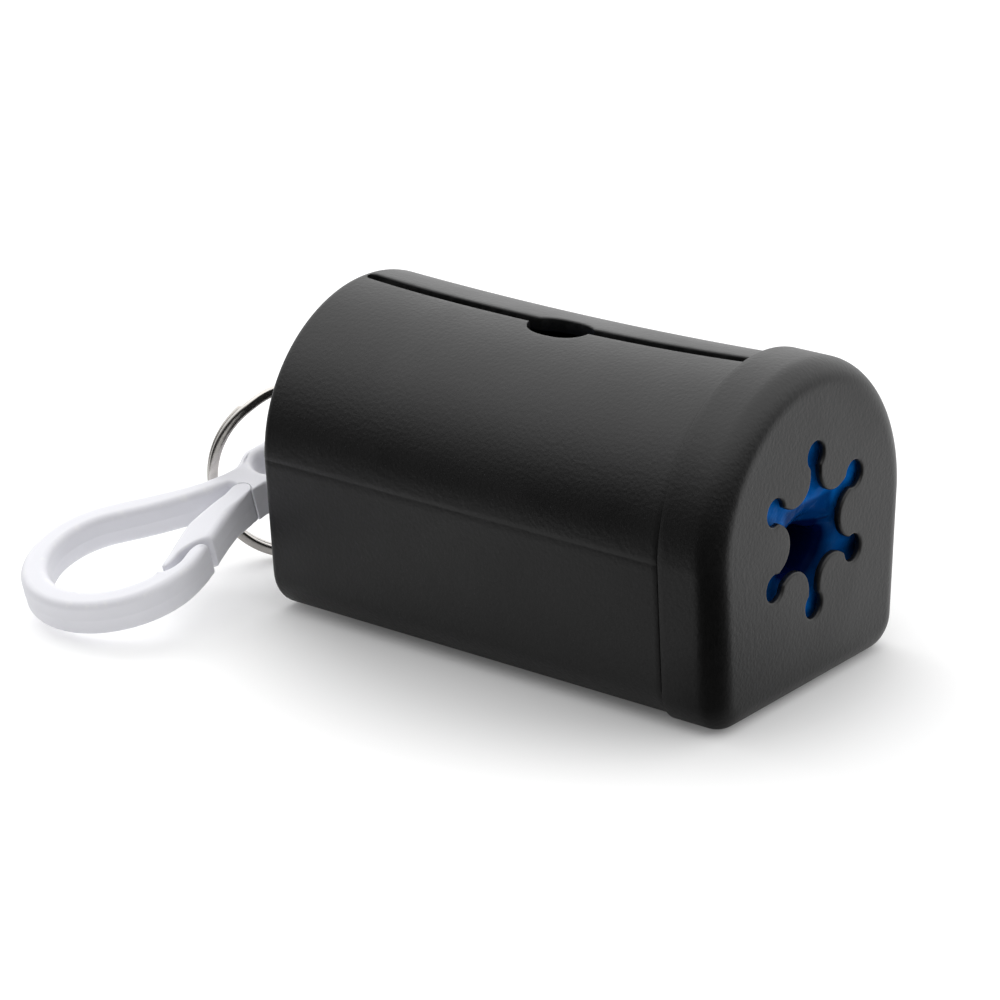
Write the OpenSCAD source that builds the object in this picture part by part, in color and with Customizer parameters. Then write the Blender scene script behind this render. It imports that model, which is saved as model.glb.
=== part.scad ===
// Pocket dispenser for a roll of dog waste bags: an arched case with a tear-off slot,
// a pull-off end cap with a splash-shaped opening, the bag roll, and behind the case
// a split ring on a moulded lug with a gated hook. Millimetres. +X runs along the
// case to the cap, +Z is up, and the origin is the middle of the flat base.

/* [Case] */
// Greatest width of the case
case_w = 38; // [36:0.1:40]
// How far each side leans in from its widest point down to the base
side_taper = 1.14; // [0.4:0.01:2]
// Height of the widest point, where the sides turn into the arch
side_h = 19.7; // [18.5:0.1:24]
// Rise of the arch above the widest point
arch_rise = 17.9; // [16:0.1:22]
// Wall thickness of the case
case_wall = 1.6; // [1.3:0.1:2]
// Radius of the long bottom corners
corner_r = 5.5; // [4:0.1:6.5]
// Rounding of the rear edge
rear_edge_r = 0.9; // [0.4:0.1:1.2]
// Depth of the pocket in the rear end, which makes room for ring and hook
pocket_depth = 3.2; // [2.8:0.1:4]
// Thickness of the wall at the bottom of the pocket
rear_wall = 1.5; // [1.2:0.1:2]

/* [Slot and tear notch] */
// Width of the bag slot along the crown
slot_w = 1.1; // [0.8:0.1:2]
// Sideways place of the slot
slot_y = -0.4; // [-1:0.1:1]
// Distance of the slot's closed end from the rear edge
slot_start = 1; // [1:0.1:3]
// Length of the oval tear notch
notch_l = 9.3; // [7:0.1:12]
// Width of the oval tear notch
notch_w = 5.1; // [4.6:0.1:7]
// Notch centre, measured from the middle of the case
notch_x = -2.8; // [-10:0.1:10]
// Sideways place of the notch
notch_y = -1; // [-1.5:0.1:1]

/* [End cap] */
// Length of the cap
cap_l = 7.6; // [6:0.1:10]
// How far the cap's arch stands above the case
cap_step = 1.3; // [0.4:0.1:1.6]
// Rounding of the cap's front edge
cap_edge_r = 2.8; // [1:0.1:3.2]
// Radius of the cap's long bottom corners
cap_corner_r = 4.3; // [3.8:0.1:6]
// Wall thickness of the cap's sides
cap_wall = 1.5; // [1.2:0.1:2]
// Thickness of the cap's front wall
front_wall = 0.8; // [0.7:0.1:1.5]
// Length of the tongue that plugs into the case
tongue_l = 4; // [3:0.1:6]
// Thickness of the tongue
tongue_t = 1.1; // [0.8:0.1:1.4]
// Gap between the tongue and the case
tongue_gap = 0.15; // [0.1:0.05:0.3]
// Width of the tongue's break under the slot
crown_break = 8.6; // [6:0.1:10]
// Width of the tongue's break below the roll
floor_break = 17; // [15:0.1:19]
// Distance from the middle of the splash-shaped opening to the bays between its arms
splash_r = 4.8; // [4:0.1:5.2]
// Number of arms of the splash
splash_arms = 6; // [5:1:7]
// Distance from the middle to the tip of an arm
splash_reach = 10.5; // [9.6:0.1:11.5]
// Radius of the drop at the end of an arm
drop_r = 1.6; // [1:0.1:2]
// Width of an arm's neck
neck_w = 1.8; // [1.2:0.1:2.4]
// Height of the splash's middle above the base
splash_z = 19.4; // [17:0.1:22]

/* [Bag roll] */
// Length of the roll
roll_l = 58.4; // [50:0.1:62]
// Radius of the hollow in the middle of the roll
roll_hole_r = 3.5; // [2:0.1:8]
// Free space between the roll and the floor of the case
roll_gap = 0.3; // [0.2:0.1:0.6]
// Free space beside the roll, inside the tongue
roll_side_gap = 1.55; // [1.2:0.05:3]
// Free space between the roll and the cap's front wall
roll_end_gap = 0.3; // [0.3:0.1:1]
// Free space between the roll and the case's rear wall
roll_back_gap = 0.7; // [0.4:0.1:2]

/* [Lug] */
// Radius of the lug's rod
lug_r = 1.1; // [0.9:0.1:1.2]
// Distance of the lug's cross bar from the rear edge
lug_reach = 7.64; // [7.4:0.01:8.4]
// Height of the lug
lug_z = 19.5; // [19.5:0.1:21]
// Clear width between the lug's legs
lug_clear = 8.8; // [8.6:0.1:12]
// Bend radius of the rod's middle line
lug_bend = 2; // [1.4:0.1:2.6]

/* [Split ring] */
// Outer radius of the split ring
ring_r = 11.25; // [11.1:0.05:11.3]
// Radial width of the ring's wire
ring_wire = 1.2; // [0.9:0.05:1.4]
// Thickness of the two coils together
ring_t = 1.8; // [1.4:0.1:2]
// Width of the groove between the coils
coil_gap = 0.2; // [0.1:0.05:0.3]
// Depth of the groove between the coils
coil_groove = 0.15; // [0.05:0.05:0.3]
// Angle between the ring's plane and the length of the case
ring_turn = 50; // [49:0.5:51]
// How far the ring's centre lies behind the lug's cross bar
ring_back = 1.27; // [1.1:0.01:1.5]
// How far the ring's centre lies to the near side
ring_side = 2.52; // [2.4:0.01:2.8]
// Gap between the ring and the lug's cross bar
ring_gap = 0.3; // [0.25:0.05:0.5]

/* [Hook] */
// Outer radius of the hook's big end
hook_r = 11.5; // [10.8:0.1:12]
// Width of the hook's limb at the big end
limb_w = 3.4; // [2.8:0.1:3.8]
// Thickness of the hook
hook_t = 4.4; // [3.6:0.1:4.6]
// Rounding of the hook's edges
hook_edge = 0.9; // [0.3:0.1:1]
// Distance from the middle of the big end to the neck
neck_u = 19.9; // [19.5:0.1:20.4]
// Half width of the neck
neck_hw = 3.25; // [3:0.05:3.5]
// Half width of the hook's shoulder
shoulder_hw = 5.3; // [4.9:0.1:5.5]
// Length over which the neck widens to the shoulder
shoulder_l = 3.6; // [3.2:0.1:4]
// Length of the shoulder before the loop widens
flare_back = 2.8; // [2.4:0.1:3]
// Length over which the loop widens
flare_l = 3.7; // [3.2:0.1:4]
// Half width of the hook's loop
loop_hw = 7.5; // [7.2:0.1:7.6]
// Distance from the middle of the big end to the far end of the loop
loop_end = 40.8; // [40.6:0.1:41]
// Width of the band round the loop
loop_band = 2.2; // [1.8:0.1:2.3]
// Hook's big end, measured from the ring's centre
hook_place = [-5.72, -26.33, -5.54];
// Hook's roll, pitch and heading
hook_turn = [2.55, -14.41, 76.21];

/* [Gate] */
// Radius of the gate's root
root_r = 1.5; // [1.3:0.1:1.6]
// Distance from the neck back to the gate's root
root_back = 2.6; // [2.4:0.1:2.8]
// Sideways place of the gate's root
root_side = 1.9; // [1.8:0.1:2]
// Gap round the gate's root
gate_gap = 0.2; // [0.15:0.05:0.3]
// Rounding of the gate's edges
gate_edge = 0.35; // [0.1:0.05:0.4]

/* [Hidden] */
$fn = 64;
through = 1;

overall_l = pocket_depth + rear_wall + roll_back_gap + roll_l + roll_end_gap + front_wall;
rear_x = -overall_l / 2;
front_x = overall_l / 2;
seam_x = front_x - cap_l;
side_lean = atan(side_taper / side_h);
arch_steps = 20;
corner_steps = 5;

pocket_x = rear_x + pocket_depth;
room_x = pocket_x + rear_wall;
crown_z = side_h + arch_rise;
cap_rise = arch_rise + cap_step;

tongue_out = case_wall + tongue_gap;
tongue_in = tongue_out + tongue_t;
roll_r = case_w / 2 - tongue_in - roll_side_gap;
roll_z = case_wall + roll_gap + roll_r;
roll_front = front_x - front_wall - roll_end_gap;

lug_x = rear_x - lug_reach;
leg_y = lug_clear / 2 + lug_r;

// The ring's wire crosses over the lug's bar at this distance from its top
ring_in = ring_r - ring_wire;
cross_h = ring_back * cos(ring_turn)
    + (ring_back * sin(ring_turn) + ring_t / 2) * tan(ring_turn);
ring_c = [lug_x - ring_back, -ring_side,
    lug_z + lug_r + ring_gap - sqrt(ring_in * ring_in - cross_h * cross_h)];

hook_c = ring_c + hook_place;
root = [neck_u - root_back, -root_side];
open_end = neck_u - 1.9;
heel_u = 0.774 * hook_r;

// Half of the D-shaped cross-section from the base up to the crown.
// inset draws it smaller all round, rise is the arch and r the bottom corner.
function half_section(inset, rise, r) =
    let (hw = case_w / 2 - inset,
        cr = max(r - inset, 0.8),
        cz = inset + cr,
        cy = hw - (side_h - cz) * tan(side_lean) - cr / cos(side_lean))
    concat(
        [for (i = [0:corner_steps])
            let (a = -90 + (90 - side_lean) * i / corner_steps)
            [cy + cr * cos(a), cz + cr * sin(a)]],
        [for (i = [0:arch_steps - 1])
            let (a = 90 * i / arch_steps)
            [hw * cos(a), side_h + (rise - inset) * sin(a)]]);

function section(inset, rise, r) =
    let (half = half_section(inset, rise, r), n = len(half))
    concat(half, [[0, side_h + rise - inset]],
        [for (i = [n - 1:-1:0]) [-half[i][0], half[i][1]]]);

// Points of an oval
function oval(a, b, n) =
    [for (i = [0:n - 1]) [a * cos(360 * i / n), b * sin(360 * i / n)]];

// Unit direction, and an outline moved outwards by d (inwards where d is negative)
function unit(v) = v / norm(v);

function outward(pts, i) =
    let (n = len(pts), t = unit(pts[(i + 1) % n] - pts[(i + n - 1) % n]))
    [t[1], -t[0]];

function moved(pts, d) = [for (i = [0:len(pts) - 1]) pts[i] + outward(pts, i) * d];

// Smooth step from 0 to 1, and a curve between two heights with given end slopes
function ease(t) = t * t * (3 - 2 * t);

function bend(t, l, v0, s0, v1, s1) =
    v0 * (2 * t * t * t - 3 * t * t + 1) + l * s0 * (t * t * t - 2 * t * t + t)
    + v1 * (3 * t * t - 2 * t * t * t) + l * s1 * (t * t * t - t * t);

// Half width of the hook at distance u from the middle of its big end
arc_u = hook_r * 0.504;
arc_v = sqrt(hook_r * hook_r - arc_u * arc_u);
shoulder_u = neck_u + shoulder_l;
flare_u = shoulder_u + flare_back;
loop_u = flare_u + flare_l;

function hook_hw(u) =
    u < arc_u ? sqrt(max(hook_r * hook_r - u * u, 0)) :
    u < neck_u ? bend((u - arc_u) / (neck_u - arc_u), neck_u - arc_u,
        arc_v, -arc_u / arc_v, neck_hw, 0) :
    u < shoulder_u ? neck_hw
        + (shoulder_hw - neck_hw) * ease((u - neck_u) / (shoulder_u - neck_u)) :
    u < flare_u ? shoulder_hw :
    u < loop_u ? shoulder_hw
        + (loop_hw - shoulder_hw) * ease((u - flare_u) / (loop_u - flare_u)) :
    loop_hw;

// A half outline from its start at v = 0 to its end, and its mirror image
function both_sides(half) = concat(
    [for (i = [len(half) - 1:-1:0]) half[i]],
    [for (p = half) if (p[1] > 0.001) [p[0], -p[1]]]);

end_r = 2.5;
hook_half = concat(
    [for (i = [0:11]) let (a = 180 - i * (180 - acos(0.504)) / 11)
        [hook_r * cos(a), hook_r * sin(a)]],
    [for (i = [1:9]) let (u = arc_u + i * (neck_u - arc_u) / 9) [u, hook_hw(u)]],
    [for (i = [1:4]) let (u = neck_u + i * (shoulder_u - neck_u) / 4) [u, hook_hw(u)]],
    [for (i = [0:4]) let (u = flare_u + i * (loop_u - flare_u) / 4) [u, hook_hw(u)]],
    [for (i = [0:4]) let (a = 90 - 90 * i / 4)
        [loop_end - end_r + end_r * cos(a), loop_hw - end_r + end_r * sin(a)]]);

// Big opening: round at the left, then narrowing to a small round end at the neck
bay_r = hook_r - limb_w;
bay_a = 57;
bay_u = bay_r * cos(bay_a);
bay_v = bay_r * sin(bay_a);
tip_r = 0.85;
bay_half = concat(
    [for (i = [0:9]) let (a = 180 - i * (180 - bay_a) / 9)
        [bay_r * cos(a), bay_r * sin(a)]],
    [for (i = [1:6]) let (l = open_end - tip_r - bay_u, u = bay_u + i * l / 6)
        [u, bend(i / 6, l, bay_v, -1 / tan(bay_a), tip_r, -0.2)]],
    [for (i = [1:3]) let (a = 90 - 90 * i / 3)
        [open_end - tip_r + tip_r * cos(a), tip_r * sin(a)]]);

// Opening of the loop, one band inside the outline
eye_u = neck_u + 1.7;
eye_round = shoulder_u + 0.5 - eye_u;
eye_hw = shoulder_hw - loop_band;
eye_half = concat(
    [for (i = [0:4]) let (a = 90 * i / 4)
        [eye_u + eye_round * (1 - cos(a)), eye_hw * sin(a)]],
    [for (i = [0:4]) let (u = flare_u + i * (loop_u - flare_u) / 4)
        [u, hook_hw(u) - loop_band]],
    [for (i = [0:4]) let (a = 90 - 90 * i / 4)
        [loop_end - loop_band - 2 + 2 * cos(a), loop_hw - loop_band - 2 + 2 * sin(a)]]);

// Points of the gate's tip and nose, drawn for a hook of radius 11.5
function drawn(pts) = [for (p = pts) p * hook_r / 11.5];

// The part of the near limb that the gate takes, from the nose to the root
gate_window = concat(
    drawn([[0.9, -4], [0.9, -8.95], [3.3, -9], [5.5, -7.65], [7.2, -7.35], [7.75, -8.1],
        [8.1, -12.5]]),
    [root + [0.6 * root_r, -hook_r], root + [0.6 * root_r, 0], root, [root[0], 0]],
    drawn([[12, 0.3], [6, -2]]));

// The gate itself: its outer edge follows the hook's outline, its tip lies in the nose
gate_line = concat(
    drawn([[1.25, -8.55], [2.7, -8.1], [5, -7], [7.9, -7.05]]),
    [for (i = [0:6]) let (u = heel_u + i * (root[0] - root_r / 4 - heel_u) / 6)
        [u, -hook_hw(u)]],
    [root],
    drawn([[16.4, -0.75], [14.8, -0.95], [11.4, -1.8], [8.6, -2.75], [6.5, -4.1],
        [4.2, -5.7], [1.35, -7.75]]));

// A length of the cross-section, laid along X
module slab(x, l, inset, rise, r) {
    translate([x, 0, 0])
        rotate([90, 0, 90])
            linear_extrude(l)
                polygon(section(inset, rise, r));
}

// The case's outer block, its rear edge rounded in steps
module rear_block() {
    steps = 3;
    for (i = [0:steps]) {
        a = 90 * i / steps;
        cut = rear_edge_r * (1 - sin(a));
        slab(rear_x + cut, seam_x - rear_x - cut, rear_edge_r * (1 - cos(a)),
            arch_rise, corner_r);
    }
}

// The cap's outer block, its front edge rounded
module cap_block() {
    steps = 7;
    skin = 0.01;
    hull() {
        slab(seam_x, cap_l - cap_edge_r, 0, cap_rise, cap_corner_r);
        for (i = [1:steps]) {
            a = 90 * i / steps;
            slab(front_x - cap_edge_r * (1 - sin(a)) - skin, skin,
                cap_edge_r * (1 - cos(a)), cap_rise, cap_corner_r);
        }
    }
}

// The lug's rod, bent round at both ends of its cross bar into legs that run into
// the wall at the bottom of the pocket
module lug() {
    translate([lug_x, -leg_y + lug_bend, lug_z])
        rotate([-90, 0, 0])
            cylinder(r = lug_r, h = 2 * (leg_y - lug_bend));
    for (s = [-1, 1]) {
        translate([lug_x + lug_bend, s * (leg_y - lug_bend), lug_z])
            rotate([0, 0, s > 0 ? 90 : 180])
                rotate_extrude(angle = 90)
                    translate([lug_bend, 0])
                        circle(lug_r, $fn = 32);
        translate([lug_x + lug_bend, s * leg_y, lug_z])
            rotate([0, 90, 0])
                cylinder(r = lug_r, h = pocket_x + rear_wall / 2 - lug_x - lug_bend);
    }
}

module case_body() {
    color("#2b2c2e") {
        difference() {
            rear_block();
            slab(rear_x - through, pocket_depth + through, case_wall, arch_rise, corner_r);
            slab(room_x, seam_x - room_x + through, case_wall, arch_rise, corner_r);
            translate([rear_x + slot_start, slot_y - slot_w / 2, crown_z - 2 * case_wall])
                cube([seam_x - rear_x - slot_start + through, slot_w, 2 * case_wall + through]);
            translate([notch_x, notch_y, crown_z - 3 * case_wall])
                linear_extrude(3 * case_wall + through)
                    polygon(oval(notch_l / 2, notch_w / 2, 36));
        }
        lug();
    }
}

// Middle with a round bay between each two arms, and arms that end in drops
module splash(l) {
    half = 180 / splash_arms;
    bay_d = (splash_r - neck_w / 2) / (1 - sin(half));
    rotate([0, 90, 0])
        rotate([0, 0, half + 30]) {
            difference() {
                cylinder(r = bay_d * cos(half), h = l);
                for (i = [0:splash_arms - 1])
                    rotate([0, 0, 2 * half * (i + 0.5)])
                        translate([bay_d, 0, -through])
                            cylinder(r = bay_d - splash_r, h = l + 2 * through);
            }
            for (i = [0:splash_arms - 1])
                rotate([0, 0, 2 * half * i]) {
                    translate([splash_r, -neck_w / 2, 0])
                        cube([splash_reach - drop_r - splash_r, neck_w, l]);
                    translate([splash_reach - drop_r, 0, 0])
                        cylinder(r = drop_r, h = l, $fn = 32);
                }
        }
}

module end_cap() {
    tongue_x = seam_x - tongue_l;
    color("#2b2c2e")
    difference() {
        union() {
            difference() {
                cap_block();
                slab(seam_x - through, cap_l - front_wall + through, cap_wall,
                    cap_rise, cap_corner_r);
            }
            difference() {
                union() {
                    slab(tongue_x, cap_l + tongue_l - front_wall, tongue_out,
                        arch_rise, corner_r);
                    slab(seam_x, cap_l - front_wall, cap_wall - 0.1, cap_rise, cap_corner_r);
                }
                slab(tongue_x - through, cap_l + tongue_l - front_wall + through, tongue_in,
                    arch_rise, corner_r);
                translate([tongue_x - through, -crown_break / 2, side_h])
                    cube([cap_l + tongue_l - front_wall + through, crown_break,
                        cap_rise - cap_wall]);
                translate([tongue_x - through, -floor_break / 2, cap_wall - through])
                    cube([cap_l + tongue_l - front_wall + through, floor_break,
                        tongue_in - cap_wall + 2 * through]);
            }
        }
        translate([front_x - front_wall - through, 0, splash_z])
            splash(front_wall + 2 * through);
    }
}

module bag_roll() {
    color("#1450c8")
    translate([roll_front - roll_l, 0, roll_z])
        rotate([0, 90, 0])
            difference() {
                cylinder(r = roll_r, h = roll_l, $fn = 96);
                translate([0, 0, -through])
                    cylinder(r = roll_hole_r, h = roll_l + 2 * through);
            }
}

// Two flat coils pressed together, with a groove between them on both sides
module split_ring() {
    a = ring_t / 2;
    b = coil_gap / 2;
    g = coil_groove;
    color("#c9ccd0")
    translate(ring_c)
        rotate([90, 0, ring_turn])
            rotate_extrude($fn = 96)
                polygon([[ring_in, -a], [ring_r, -a], [ring_r, -b], [ring_r - g, -b],
                    [ring_r - g, b], [ring_r, b], [ring_r, a], [ring_in, a],
                    [ring_in, b], [ring_in + g, b], [ring_in + g, -b], [ring_in, -b]]);
}

// Layers whose edges step inwards towards both faces, as if rounded by e
module layers(e) {
    steps = 3;
    for (i = [0:steps]) {
        a = 90 * i / steps;
        half = hook_t / 2 - e * (1 - sin(a));
        $inset = e * (1 - cos(a));
        translate([0, 0, -half])
            linear_extrude(2 * half)
                children();
    }
}

module hook_frame() {
    color("#f2f2f5")
    translate(hook_c)
        rotate(hook_turn)
            difference() {
                layers(hook_edge)
                    difference() {
                        polygon(moved(both_sides(hook_half), -$inset));
                        polygon(moved(both_sides(bay_half), $inset));
                        polygon(moved(both_sides(eye_half), $inset));
                        polygon(gate_window);
                    }
                translate([root[0], root[1], -hook_t])
                    cylinder(r = root_r + gate_gap, h = 2 * hook_t);
            }
}

module hook_gate() {
    color("#f2f2f5")
    translate(hook_c)
        rotate(hook_turn) {
            layers(gate_edge)
                polygon(moved(gate_line, -$inset));
            translate([root[0], root[1], -hook_t / 2 + 0.3])
                cylinder(r = root_r, h = hook_t - 0.6);
        }
}

case_body();
end_cap();
bag_roll();
split_ring();
hook_frame();
hook_gate();
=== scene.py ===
# %% [markdown]
# # A pocket dispenser for dog waste bags
# The object is a black moulded case with an arched top, a pull-off cap with a splash-shaped
# window, a roll of blue film bags inside, and behind it a split ring with a white plastic
# hook. The measured CAD model is loaded first and never moved. Every shape below is worked
# out in millimetres in the same frame, and takes the place of the plain CAD solid.

# %% Load the measured model
import bmesh
import bpy
import math
import numpy as np
from mathutils import Matrix, Vector
from mathutils.geometry import tessellate_polygon


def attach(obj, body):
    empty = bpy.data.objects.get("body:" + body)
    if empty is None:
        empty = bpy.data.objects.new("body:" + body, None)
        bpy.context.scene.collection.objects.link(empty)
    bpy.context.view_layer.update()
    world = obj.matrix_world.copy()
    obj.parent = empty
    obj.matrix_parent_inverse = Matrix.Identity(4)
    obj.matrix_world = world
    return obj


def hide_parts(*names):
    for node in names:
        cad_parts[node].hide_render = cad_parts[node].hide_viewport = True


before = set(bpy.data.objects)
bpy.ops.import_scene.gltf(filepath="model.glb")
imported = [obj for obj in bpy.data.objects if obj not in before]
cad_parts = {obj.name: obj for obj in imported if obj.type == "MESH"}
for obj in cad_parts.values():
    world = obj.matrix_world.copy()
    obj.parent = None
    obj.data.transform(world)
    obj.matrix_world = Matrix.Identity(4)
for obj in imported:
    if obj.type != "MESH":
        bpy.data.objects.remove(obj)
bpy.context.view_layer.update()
MM = 0.001

# %% [markdown]
# ## Camera
# A long lens from the front right and above. The angles come from lining up the straight
# edges and the arches of the case with the picture. It stands before anything is made, so
# that every later step can be looked at from the same place.

# %% Camera at the picture's angle
AIM, DISTANCE, LENS, SENSOR = Vector((-11.983, 0, 13.224)), 452.603, 137.95, 36
turn, lift, roll_angle = (math.radians(a) for a in (38.656, 20.692, -0.839))
back = Vector((math.sin(turn) * math.cos(lift), -math.cos(turn) * math.cos(lift), math.sin(lift)))
side = (-back).cross(Vector((0, 0, 1))).normalized()
up = side.cross(-back)
right = side * math.cos(roll_angle) + up * math.sin(roll_angle)
above = up * math.cos(roll_angle) - side * math.sin(roll_angle)
place = AIM * MM + back * DISTANCE * MM
lens = bpy.data.cameras.new("camera")
lens.lens, lens.sensor_width = LENS, SENSOR
lens.clip_start, lens.clip_end = 0.01, 20
camera = bpy.data.objects.new("camera", lens)
camera.matrix_world = Matrix.Translation(place) @ Matrix((right, above, back)).transposed().to_4x4()
bpy.context.scene.collection.objects.link(camera)
bpy.context.scene.camera = camera
print("camera at", [round(v, 3) for v in place])

# %% [markdown]
# ## From rows of points to a piece
# A surface is a grid of points, one row after another, and a face joins four neighbours.
# Blender's modifiers could cut and round the shapes too, but with arrays every point's
# place can be read off a formula. One helper numbers the faces of a grid, one closes a flat
# ring or plate between outlines, and one turns points and faces into a named piece, with
# doubled points merged and all faces turned outwards. Each point also carries a number
# "edge", 1 on rounded edges and 0 on flats, which the wear in the materials follows later.
# On the roll of bags the same number says how deep in shade the film lies.

# %% Helpers that number faces
def quads(rows, cols, start=0, close_rows=False, close_cols=False):
    """Face (i, j) joins points (i, j), (i, j+1), (i+1, j+1) and (i+1, j).

    The last row or column may join the first.
    """
    i = np.arange(rows if close_rows else rows - 1)[:, None]
    j = np.arange(cols if close_cols else cols - 1)[None, :]
    i2, j2 = (i + 1) % rows, (j + 1) % cols
    grid = np.broadcast_arrays(i * cols + j, i * cols + j2, i2 * cols + j2, i2 * cols + j)
    return (np.stack(grid, -1).reshape(-1, 4) + start).tolist()


def plate(points, loops):
    """Flat faces between closed loops of point numbers: the first is the rim, the others are holes."""
    numbers = np.concatenate(loops)
    tris = tessellate_polygon([[Vector(p) for p in points[loop]] for loop in loops])
    return [[int(numbers[k]) for k in tri] for tri in tris]


def ease(t):
    """Smooth step from 0 to 1: t t (3 - 2 t)."""
    t = np.clip(t, 0, 1)
    return t * t * (3 - 2 * t)


# %% Helper that makes a piece
MERGE_WITHIN, NO_LENGTH, SHARP_FROM = 2e-6, 1e-7, math.radians(38)
made_pieces = []


def piece(name, points, faces, edge, body, node, slot, uv=None):
    """Points in mm become a mesh in metres, hung on its body, with its CAD node hidden and its finish noted.

    Doubled points are merged, faces turn outwards, and an edge is sharp where its faces
    meet at more than 38 degrees.
    """
    mesh = bpy.data.meshes.new(name)
    mesh.from_pydata(np.asarray(points) * MM, [], faces)
    edge_values = mesh.attributes.new("edge", "FLOAT", "POINT").data
    edge_values.foreach_set("value", np.ravel(edge).astype(np.float32))
    if uv is not None:
        corner = np.empty(len(mesh.loops), dtype=np.int32)
        mesh.loops.foreach_get("vertex_index", corner)
        mesh.uv_layers.new(name="run").data.foreach_set("uv", uv[corner].astype(np.float32).ravel())
    work = bmesh.new()
    work.from_mesh(mesh)
    bmesh.ops.remove_doubles(work, verts=work.verts, dist=MERGE_WITHIN)
    bmesh.ops.dissolve_degenerate(work, edges=work.edges, dist=NO_LENGTH)
    loose = [v for v in work.verts if not v.link_faces]
    bmesh.ops.delete(work, geom=loose, context="VERTS")
    bmesh.ops.recalc_face_normals(work, faces=work.faces)
    open_edges = sum(len(e.link_faces) != 2 for e in work.edges)
    work.to_mesh(mesh)
    work.free()
    mesh.shade_smooth()
    mesh.set_sharp_from_angle(angle=SHARP_FROM)
    made = bpy.data.objects.new(name, mesh)
    bpy.context.scene.collection.objects.link(made)
    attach(made, body)
    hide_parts(node)
    made_pieces.append((made, slot))
    print(name, len(mesh.polygons), "faces,", open_edges, "open edges")


# %% [markdown]
# ## The D-shaped section
# Case and cap share one section: a flat base, round bottom corners, sides that lean out a
# little up to half height, and an elliptic arch above. A curve could be drawn for each piece,
# but case, cap, wall and tongue have to fit each other. So the section is written once, as a
# function of how far it is drawn in from the skin, how high the arch rises and where its two
# ends lie at the crown, so that the bag slot can run between the two ends.

# %% Section as columns of points
CASE_HALF, SIDE_TAPER, SIDE_H, CASE_CORNER, LEAST_CORNER = 19.0, 1.14, 19.7, 5.5, 0.8
REAR_X, SEAM_X, FRONT_X = -32.45, 24.85, 32.45
SIDE_DROPS = np.array([0.1, 0.22, 1.2, 3.4, 5.6, 7.8])
# Only the first point below the arch is drawn in, which gives the fine mould line.
FIRST_DROP = np.array([1, 0, 0, 0, 0, 0])
CORNER_POINTS, BASE_POINTS = 12, 5


def half_dee(inset, rise, corner, lip, crease=0.0, arch=46, bottom=0.0):
    """One half of the section, as rows x columns of y and z, from the crown to the base.

    The arch is y = w cos(f), z = 19.7 + (rise - inset) sin(f), with w the half width less
    the inset, and runs from y = lip down to the side. Below it come a straight side that
    leans in, whose first point is drawn in by crease, a corner arc, and the base as far as
    y = bottom.
    """
    inset, rise, lip, crease = (np.asarray(v, float).reshape(-1, 1) for v in (inset, rise, lip, crease))
    w, corner_r = CASE_HALF - inset, np.maximum(corner - inset, LEAST_CORNER)
    corner_z, lean = inset + corner_r, math.atan(SIDE_TAPER / SIDE_H)
    corner_y = w - (SIDE_H - corner_z) * math.tan(lean) - corner_r / math.cos(lean)
    f = np.arccos(np.clip(lip / w, -1, 1)) * (1 - np.linspace(0, 1, arch))
    ys, zs = [w * np.cos(f)], [SIDE_H + (rise - inset) * np.sin(f)]
    foot_y, foot_z = corner_y + corner_r * math.cos(lean), corner_z - corner_r * math.sin(lean)
    t = SIDE_DROPS / (SIDE_H - foot_z)
    ys.append(w + (foot_y - w) * t - crease * FIRST_DROP)
    zs.append(SIDE_H + (foot_z - SIDE_H) * t)
    g = -lean - (math.pi / 2 - lean) * np.linspace(0, 1, CORNER_POINTS)
    ys.append(corner_y + corner_r * np.cos(g))
    zs.append(corner_z + corner_r * np.sin(g))
    base = np.linspace(0, 1, BASE_POINTS)[1:]
    ys.append(corner_y + (bottom - corner_y) * base)
    zs.append(inset + np.zeros(len(base)))
    return np.concatenate(ys, 1), np.concatenate(zs, 1)


sample = half_dee([0], [17.9], CASE_CORNER, [0])
print("half section:", sample[0].shape[1], "points, half width", round(float(sample[0].max()), 2))

# %% [markdown]
# ## The case
# On the real thing this is one moulding: an open tube whose wall is cut along the crown by
# the bag slot, with an oval notch in the middle where a bag is torn off. The crown sinks a
# little between the two stiff ends, and a fine line where the mould halves met runs along
# each side at half height. A cutter could make slot and notch, but it would leave slivers
# where they meet. So the section is swept along the case in rows that crowd together at the
# notch, at the slot's round closed end and at the seam, whose softened edge draws the fine
# groove beside the cap. The two lips of the slot are the ends of each row. Where the lips
# touch, the wall between them is left out and the points merge.

# %% Rows along the case
SLOT_END, SLOT_HALF = -31.42, 0.76
NOTCH_X, NOTCH_Y, NOTCH_L, NOTCH_W = -2.0, -1.05, 4.25, 2.55
REAR_ROUND, SEAM_RUN, SEAM_ROUND = 0.9, 0.12, 0.3
CROWN_RISE, CROWN_TILT, CROWN_SAG = 17.995, 0.121, 0.747
LIP_ROUND, CASE_WALL, EDGE_BREAK, BREAK_RUN, MOULD_LINE = 0.24, 1.6, 0.12, 0.15, 0.035
rear_turn = np.radians([90, 72, 54, 36, 18, 0])
seam_turn = np.radians([0, 30, 60, 90])
rear_rows = REAR_X + REAR_ROUND * (1 - np.sin(rear_turn))
slot_rows = SLOT_END + SLOT_HALF * (1 - np.cos(np.radians([0, 15, 30, 45, 60, 75, 90])))
notch_rows = NOTCH_X + NOTCH_L * np.cos(np.linspace(math.pi, 0, 41))
seam_rows = SEAM_X - SEAM_RUN + SEAM_RUN * np.sin(seam_turn)
x = np.concatenate([rear_rows, slot_rows, np.linspace(-30, -7.4, 16), [-6.8], notch_rows,
                    [2.7, 3.3], np.linspace(4.1, 24, 16), seam_rows])
inset = np.zeros_like(x)
inset[:6] = REAR_ROUND * (1 - np.cos(rear_turn))
inset[-4:] = SEAM_ROUND * (1 - np.cos(seam_turn))
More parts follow.
